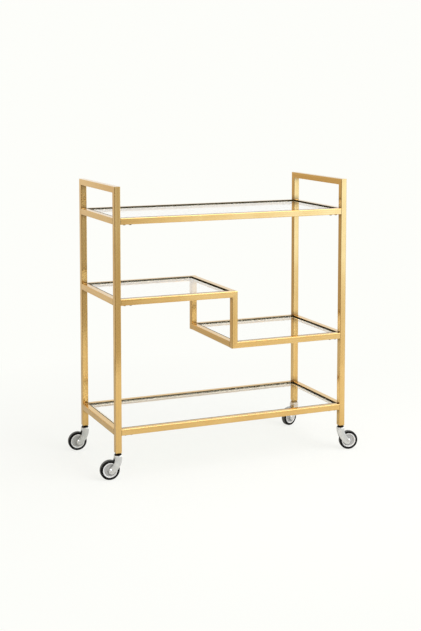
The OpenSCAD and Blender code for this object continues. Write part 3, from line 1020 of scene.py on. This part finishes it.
@dataclass
class Caster:
    """A swivel caster: pressed fork, axle, and a wheel of tyre, rim and disc."""

    nodes: dict[str, bpy.types.Object]
    finishes: Finishes
    corner: Corner
    trail: float = 27 * MM
    wheel_radius: float = 31.5 * MM
    tyre_width: float = 17 * MM
    tyre_bore: float = 23.65 * MM
    tyre_side: Rings = ((0.35, 0.0), (0.1, -0.3 * MM), (0.55, 0.0))
    tyre_crease: float = 38.0
    shoulder: float = 3.4 * MM
    parting_rise: float = 0.15 * MM
    parting_half: float = 0.3 * MM
    parting_slope: float = 0.1 * MM
    # Depth over which the paler tread tone, wear and painted sheen, fades out.
    worn_depth: float = 1.0 * MM
    rim_radius: float = 23.6 * MM
    rim_bore: float = 19.8 * MM
    rim_width: float = 16 * MM
    rim_side: Rings = ((0.12, 0.25 * MM), (0.55, 0.0), (0.33, -1.6 * MM))
    rim_round: float = 0.3 * MM
    rim_crease: float = 40.0
    disc_width: float = 12 * MM
    disc_sink: float = 0.4 * MM
    disc_ridge: Rings = ((0.04, 0.45 * MM), (0.08, 0.0), (0.04, -0.45 * MM))
    disc_crease: float = 28.0
    boss_radius: float = 6.4 * MM
    boss_width: float = 17.8 * MM
    boss_bore: float = 3.05 * MM
    boss_edge: float = 0.5 * MM
    fork_round: float = 0.45 * MM
    crown_z: float = 76.8 * MM
    crown_hole: float = 10.4 * MM
    crown_round: float = 2.4 * MM
    round_steps: int = 6
    sides: int = 96

    @property
    def wheel_place(self) -> Matrix:
        """Return the turn and shift that carry a wheel from along Z at the origin to its axle."""
        return (
            Matrix.Translation(self.corner.foot)
            @ Matrix.Rotation(self.corner.turn, 4, "Z")
            @ Matrix.Translation((-self.trail, 0, self.wheel_radius))
            @ Matrix.Rotation(QUARTER, 4, "X")
        )

    def build(self, wheel: dict[str, Bench]) -> None:
        """Dress this corner's caster.

        Args:
            wheel: The tyre, rim and disc, modelled once along Z at the origin.
        """
        label = self.corner.label
        fork = Bench.copy_of(self.nodes[f"{label}_fork"], f"{label}_pressed_fork")
        self.round_crown(fork)
        fork.bevel(self.fork_round)
        fork.smooth().fit_out(
            self.finishes.fork, Body.CASTER.at(self.corner), "forks", f"{label}_fork"
        )
        dress(self.nodes, (f"{label}_axle",), self.finishes.axle)
        for part, finish, slot, node in (
            ("tyre", self.finishes.tyre, "tyres", "tyre"),
            ("rim", self.finishes.rim, "hubs", "hub"),
            ("disc", self.finishes.disc, "hubs", "hub"),
        ):
            twin = wheel[part].twin(f"{label}_wheel_{part}").move(self.wheel_place)
            twin.fit_out(finish, Body.WHEEL.at(self.corner), slot, f"{label}_{node}")

    def round_crown(self, fork: Bench) -> None:
        """Bend the crown's outer edges over, as a press does.

        Args:
            fork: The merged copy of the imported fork.
        """
        swivel = self.corner.foot.xy
        with fork.editing("EDGE"):
            fork.pick(
                "edges",
                lambda edge: all(
                    end.co.z > self.crown_z - NEAR and (end.co.xy - swivel).length > self.crown_hole
                    for end in edge.verts
                ),
            )
            bpy.ops.mesh.bevel(offset=self.crown_round, segments=self.round_steps, affect="EDGES")

    def model_wheel(self) -> dict[str, Bench]:
        """Model the wheel's three parts along Z at the origin."""
        return {"tyre": self.tyre(), "rim": self.rim(), "disc": self.disc()}

    def tyre(self) -> Bench:
        """Model the tyre: round shoulders, a fine parting line and a raised ring on each side."""
        radius = self.wheel_radius - self.parting_rise
        tyre = Bench.cylinder("tyre", radius, self.tyre_width, self.sides)
        with tyre.editing("EDGE"):
            tyre.pick("edges", lambda edge: abs(edge.verts[0].co.z - edge.verts[1].co.z) < NEAR)
            bpy.ops.mesh.bevel(offset=self.shoulder, segments=self.round_steps, affect="EDGES")
            for side in (-1, 1):
                bpy.ops.mesh.select_all(action="SELECT")
                bpy.ops.mesh.bisect(plane_co=(0, 0, side * self.parting_half), plane_no=(0, 0, 1))
        with tyre.editing():
            tyre.pick("faces", lambda face: abs(face.calc_center_median().z) < self.parting_half)
            bpy.ops.mesh.inset(thickness=self.parting_slope, depth=self.parting_rise)
        tyre.step_caps(rings(radius - self.shoulder - self.tyre_bore, self.tyre_side), bore=True)
        self.wear_tread(tyre, radius)
        return tyre.smooth(self.tyre_crease)

    def wear_tread(self, tyre: Bench, radius: float) -> None:
        """Note on each point of the tyre how much of the paler tread tone it takes, which stands for
        floor wear and partly for a painted sheen.

        Args:
            tyre: The tyre along Z at the origin.
            radius: The tread's radius.
        """
        mesh = tyre.piece.data
        wear = mesh.attributes.new(TREAD_WEAR_AND_SHEEN, "FLOAT", "POINT")
        for point in mesh.vertices:
            depth = (radius - point.co.xy.length) / self.worn_depth
            wear.data[point.index].value = max(0.0, 1.0 - depth)

    def rim(self) -> Bench:
        """Model the rim: a pale ring with rounded edges that slopes in to the disc."""
        rim = Bench.cylinder("rim", self.rim_radius, self.rim_width, self.sides)
        rim.step_caps(rings(self.rim_radius - self.rim_bore, self.rim_side), bore=True)
        rim.bevel(self.rim_round, angle=self.rim_crease)
        return rim.smooth()

    def disc(self) -> Bench:
        """Model the disc: two faint moulded rings, a stepped boss and the axle's bore."""
        disc = Bench.cylinder("disc", self.rim_bore, self.disc_width, self.sides)
        boss_rise = (self.boss_width - self.disc_width) / 2
        edge = self.boss_edge
        web = [
            (0.26, -self.disc_sink),
            *self.disc_ridge,
            (0.26, 0.0),
            *self.disc_ridge,
            (0.10, self.disc_sink),
            (0.06, boss_rise - edge),
        ]
        boss = [(edge, edge), (self.boss_radius - self.boss_bore - edge, 0.0)]
        disc.step_caps(rings(self.rim_bore - self.boss_radius, web) + boss, bore=True)
        return disc.smooth(self.disc_crease)


# --- Stage ---


@dataclass(frozen=True)
class Panel:
    """A soft light panel that faces the trolley: its power in watts, its width and height, its
    heading in degrees to the right of the front, and how far out and how high it hangs."""

    name: str
    power: float
    size: tuple[float, float]
    azimuth: float
    distance: float
    height: float
    aim_height: float = 0.5

    def build(self) -> None:
        """Hang the panel."""
        lamp = bpy.data.lights.new(self.name, "AREA")
        lamp.shape = "RECTANGLE"
        lamp.size, lamp.size_y = self.size
        lamp.energy = self.power
        holder = bpy.data.objects.new(self.name, lamp)
        bpy.context.scene.collection.objects.link(holder)
        turn = math.radians(self.azimuth)
        out, across = self.distance * math.cos(turn), self.distance * math.sin(turn)
        holder.location = (across, -out, self.height)
        aim = Vector((0, 0, self.aim_height)) - holder.location
        holder.rotation_euler = aim.to_track_quat("-Z", "Y").to_euler()


@dataclass(frozen=True)
class Strip:
    """A strip of the paper ring. Its headings are in degrees to the right of the back: it comes in
    from start to full, and goes out from end to gone."""

    paper: Colour | Socket
    start: float
    full: float
    end: float
    gone: float


@dataclass
class Studio:
    """A pale floor that runs out to white, and a ring of paper round the trolley: bright behind it
    and at its front right, warm grey at its left, and dark just left of its front. The floor fades
    over metres from its middle, and one paper into another over the Z of a direction."""

    floor_radius: float = 1.7
    floor_sides: int = 96
    floor_fade: tuple[float, float] = (0.65, 1.5)
    white: Colour = (0.985, 0.990, 0.955)
    floor_colour: Colour = (0.72, 0.71, 0.69)
    floor_seen: Colour = (0.96, 0.96, 0.945)
    shadow_share: float = 0.24
    dark_paper: Colour = (0.070, 0.050, 0.030)
    side_paper: Colour = (0.44, 0.41, 0.36)
    warm_paper: Colour = (0.47, 0.41, 0.32)
    grey_paper: Colour = (0.55, 0.53, 0.50)
    back_paper: Colour = (0.99, 0.985, 0.96)
    front_paper: Colour = (1.22, 1.52, 2.10)
    edge_paper: Colour = (0.84, 0.76, 0.62)
    low_paper: Colour = (0.80, 0.77, 0.72)
    rim_paper: Colour = (0.70, 0.58, 0.40)
    ceiling: Colour = (0.62, 0.62, 0.61)
    low_fade: tuple[float, float] = (-0.20, -0.12)
    rim_fade: tuple[float, float] = (-0.10, -0.06)
    front_fade: tuple[float, float] = (0.05, 0.15)
    ceiling_fade: tuple[float, float] = (0.22, 0.50)
    panels: tuple[Panel, ...] = (
        Panel("key_panel", 84.0, (3.2, 2.4), azimuth=32.0, distance=3.4, height=2.6),
        Panel("top_panel", 26.0, (3.0, 2.0), azimuth=40.0, distance=0.9, height=3.0),
    )

    def build(self) -> None:
        """Make the floor, the paper and the lights."""
        self.floor()
        self.paper_ring()
        for panel in self.panels:
            panel.build()

    def floor(self) -> None:
        """Lay the floor. Near the trolley it keeps the shadow, and further out it is plain white."""
        Bench.clear()
        bpy.ops.mesh.primitive_circle_add(
            vertices=self.floor_sides, radius=self.floor_radius, fill_type="NGON"
        )
        bench = Bench(bpy.context.object, "pale_floor")
        paint = bpy.data.materials.new("floor_paint")
        paint.use_nodes = True
        sheet = NodeSheet(paint.node_tree)
        seen = sheet.any_ray(Ray.CAMERA, Ray.THROUGH_GLASS)
        colour = sheet.blend(seen, self.floor_colour, self.floor_seen)
        matt = sheet.add("ShaderNodeBsdfDiffuse", Color=colour)
        glow = sheet.add("ShaderNodeEmission", Color=self.white, Strength=1.0)
        reach = sheet.add("ShaderNodeVectorMath", {"operation": "LENGTH"})
        sheet.put(reach, 0, sheet.place())
        far = sheet.span(reach.outputs["Value"], 1.0 - self.shadow_share, 1.0, *self.floor_fade)
        share = sheet.math("MULTIPLY", far, seen)
        sheet.finish(sheet.either(share, matt.outputs[0], glow.outputs[0]))
        bench.piece.data.materials.append(paint)

    def paper_ring(self) -> None:
        """Light the scene from all round with paper of several tones, by heading and height."""
        world = bpy.data.worlds.new("paper_ring")
        bpy.context.scene.world = world
        world.use_nodes = True
        sheet = NodeSheet(world.node_tree)
        direction = sheet.add("ShaderNodeTexCoord").outputs["Generated"]
        toward = sheet.add("ShaderNodeSeparateXYZ", Vector=direction)
        height = toward.outputs[2]
        heading = sheet.math("ARCTAN2", toward.outputs[0], toward.outputs[1])
        front = sheet.blend(
            sheet.span(height, 1.0, 0.0, *self.low_fade), self.front_paper, self.low_paper
        )
        front = sheet.blend(sheet.span(height, 0.0, 1.0, *self.front_fade), front, self.ceiling)
        left = sheet.blend(
            sheet.span(height, 0.0, 1.0, *self.rim_fade), self.warm_paper, self.rim_paper
        )
        tone = self.dark_paper
        for strip in (
            Strip(self.side_paper, -172, -145, -70, -45),
            Strip(left, -60, -36, 60, 90),
            Strip(self.back_paper, -26, -12, 60, 90),
            Strip(self.grey_paper, 60, 90, 100, 120),
            Strip(self.edge_paper, 100, 120, 158, 166),
            Strip(front, 100, 120, 152, 162),
        ):
            share = sheet.math(
                "MULTIPLY",
                sheet.span(heading, 0.0, 1.0, math.radians(strip.start), math.radians(strip.full)),
                sheet.span(heading, 1.0, 0.0, math.radians(strip.end), math.radians(strip.gone)),
            )
            tone = sheet.blend(share, tone, strip.paper)
        tone = sheet.blend(sheet.span(height, 0.0, 1.0, *self.ceiling_fade), tone, self.ceiling)
        seen = sheet.any_ray(Ray.CAMERA, Ray.THROUGH_GLASS)
        colour = sheet.blend(seen, tone, self.white)
        light = sheet.add("ShaderNodeBackground", Color=colour, Strength=1.0)
        sheet.finish(light.outputs[0], "ShaderNodeOutputWorld")


@dataclass
class PhotoCamera:
    """The photograph's viewpoint, solved from the trolley's edges."""

    place: tuple[float, float, float] = (-1.6191, -3.7307, 1.2364)
    heading: float = 23.354
    pitch: float = 4.91
    lens: float = 69.47
    sensor: float = 36.0
    shift_y: float = -0.1989

    def build(self) -> None:
        """Make the camera and hand it to the scene."""
        lens = bpy.data.cameras.new("photo_camera")
        lens.lens = self.lens
        lens.sensor_width = self.sensor
        lens.shift_y = self.shift_y
        holder = bpy.data.objects.new("photo_camera", lens)
        bpy.context.scene.collection.objects.link(holder)
        holder.location = self.place
        holder.rotation_euler = (math.radians(90 - self.pitch), 0, -math.radians(self.heading))
        bpy.context.scene.camera = holder


# --- The whole trolley ---


def main() -> None:
    """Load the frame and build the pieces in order."""
    logging.basicConfig(level=logging.INFO, format="%(message)s")
    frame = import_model()
    nodes = frame["nodes"]
    finishes = Finishes()

    Tubework(nodes, finishes).build()
    for shelf in ("top", "upper", "lower", "bottom"):
        ShelfSeat(nodes, finishes, shelf).build()
    PostFoot(nodes, finishes).build()
    casters = [Caster(nodes, finishes, corner) for corner in Corner]
    wheel = casters[0].model_wheel()
    for caster in casters:
        caster.build(wheel)
    for part in wheel.values():
        bpy.data.objects.remove(part.piece)

    Studio().build()
    PhotoCamera().build()
    bpy.context.scene.view_settings.view_transform = "Standard"


if __name__ == "__main__":
    main()
